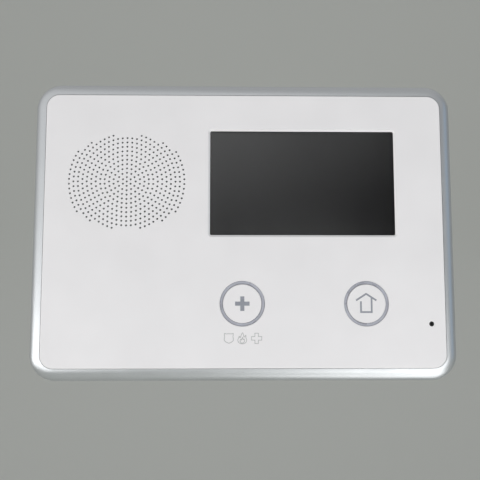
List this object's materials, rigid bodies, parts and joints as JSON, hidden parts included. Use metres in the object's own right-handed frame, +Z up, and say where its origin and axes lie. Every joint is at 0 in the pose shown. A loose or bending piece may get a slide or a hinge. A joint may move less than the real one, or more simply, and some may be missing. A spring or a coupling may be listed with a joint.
{
  "type": "alarm keypad panel",
  "caption": "Wall-mounted alarm keypad panel: white face in a silver rim, speaker holes, touch screen, emergency and home buttons, lifting off a hooked wall plate.",
  "frame": {"origin": "middle of the wall plate's back face, on the wall, level with the middle of the panel's outline", "axes": "+X to the right seen from the front, +Y into the wall, +Z up; the face looks along -Y"},
  "size_m": [0.197, 0.0321, 0.139],
  "materials": {
    "white_face": "fine satin moulded white",
    "white_housing": "fine moulded texture, white",
    "plate_plastic": "moulded texture, off-white",
    "silver_paint": "satin silver paint on a moulded rim",
    "ring_lens": "translucent grey lens",
    "icon_insert": "grey translucent insert",
    "screen_glass": "clear gloss over a dark display",
    "display": "dark display with black frame",
    "black_foam": "closed-cell foam",
    "pressed_steel": "plain pressed steel",
    "silicone": "soft silicone rubber",
    "black_rubber": "moulded black rubber",
    "black_plastic": "black moulded plastic",
    "natural_plastic": "natural nylon",
    "led_white": "small white lamps",
    "flex_cable": "amber polyimide film",
    "speaker_steel": "black painted pressed steel",
    "magnet": "dark ferrite",
    "cone_paper": "pressed paper cone",
    "copper": "enamelled copper winding",
    "acoustic_cloth": "thin dark acoustic cloth",
    "lead_insulation": "black lead insulation",
    "capsule_metal": "turned aluminium can",
    "circuit_board": "green solder mask",
    "terminal_plastic": "green moulded terminal block",
    "battery_wrap": "blue shrink sleeve"
  },
  "bodies": {
    "wall_mount": {"wall_plate": "plate_plastic"},
    "panel": {"front_cover": "white_face", "rear_housing": "white_housing", "battery_cover": "white_housing", "silver_trim_rim": "silver_paint", "emergency_light_ring": "ring_lens", "home_light_ring": "ring_lens", "touch_panel": "screen_glass", "lcd_module": "display", "lcd_gasket": "black_foam", "speaker_gasket": "black_foam", "lcd_bracket": "pressed_steel", "processor_shield": "pressed_steel", "board_screws": "pressed_steel", "case_screws": "pressed_steel", "battery_cover_screw": "pressed_steel", "terminal_screws": "pressed_steel", "tamper_spring": "pressed_steel", "emergency_return_spring": "silicone", "home_return_spring": "silicone", "microphone_boot": "black_rubber", "speaker_surround": "black_rubber", "button_switch_bodies": "black_plastic", "tamper_switch_body": "black_plastic", "board_connectors": "natural_plastic", "ring_leds": "led_white", "lcd_ribbon_cable": "flex_cable", "speaker_basket": "speaker_steel", "speaker_magnet": "magnet", "radio_antenna": "copper", "grille_cloth": "acoustic_cloth", "speaker_leads": "lead_insulation", "radio_antenna_lead": "lead_insulation", "microphone": "capsule_metal", "main_board": "circuit_board", "radio_module": "circuit_board", "terminal_block": "terminal_plastic", "battery_cells": "battery_wrap"},
    "emergency_key": {"emergency_button": "white_face", "emergency_icon": "icon_insert", "emergency_switch_plunger": "black_plastic"},
    "home_key": {"home_button": "white_face", "home_icon": "icon_insert", "home_switch_plunger": "black_plastic"},
    "tamper_pin": {"tamper_plunger": "natural_plastic"},
    "speaker_diaphragm": {"speaker_cone": "cone_paper", "voice_coil": "copper"}
  },
  "joints": [
    {"name": "panel_lift", "type": "slide", "parent": "wall_mount", "child": "panel", "axis": [0, 0, 1], "range_m": [0, 0.01]},
    {"name": "emergency_press", "type": "slide", "parent": "panel", "child": "emergency_key", "axis": [0, 1, 0], "range_m": [0, 0.0006], "stiffness_N_per_m": 1500, "springref_m": -0.001, "deforming": ["emergency_return_spring"]},
    {"name": "home_press", "type": "slide", "parent": "panel", "child": "home_key", "axis": [0, 1, 0], "range_m": [0, 0.0006], "stiffness_N_per_m": 1500, "springref_m": -0.001, "deforming": ["home_return_spring"]},
    {"name": "tamper_press", "type": "slide", "parent": "panel", "child": "tamper_pin", "axis": [0, -1, 0], "range_m": [0, 0.001], "stiffness_N_per_m": 200, "springref_m": -0.003, "deforming": ["tamper_spring"]},
    {"name": "speaker_throw", "type": "slide", "parent": "panel", "child": "speaker_diaphragm", "axis": [0, -1, 0], "range_m": [-0.0004, 0.0004], "stiffness_N_per_m": 1500, "deforming": ["speaker_surround"]}
  ]
}
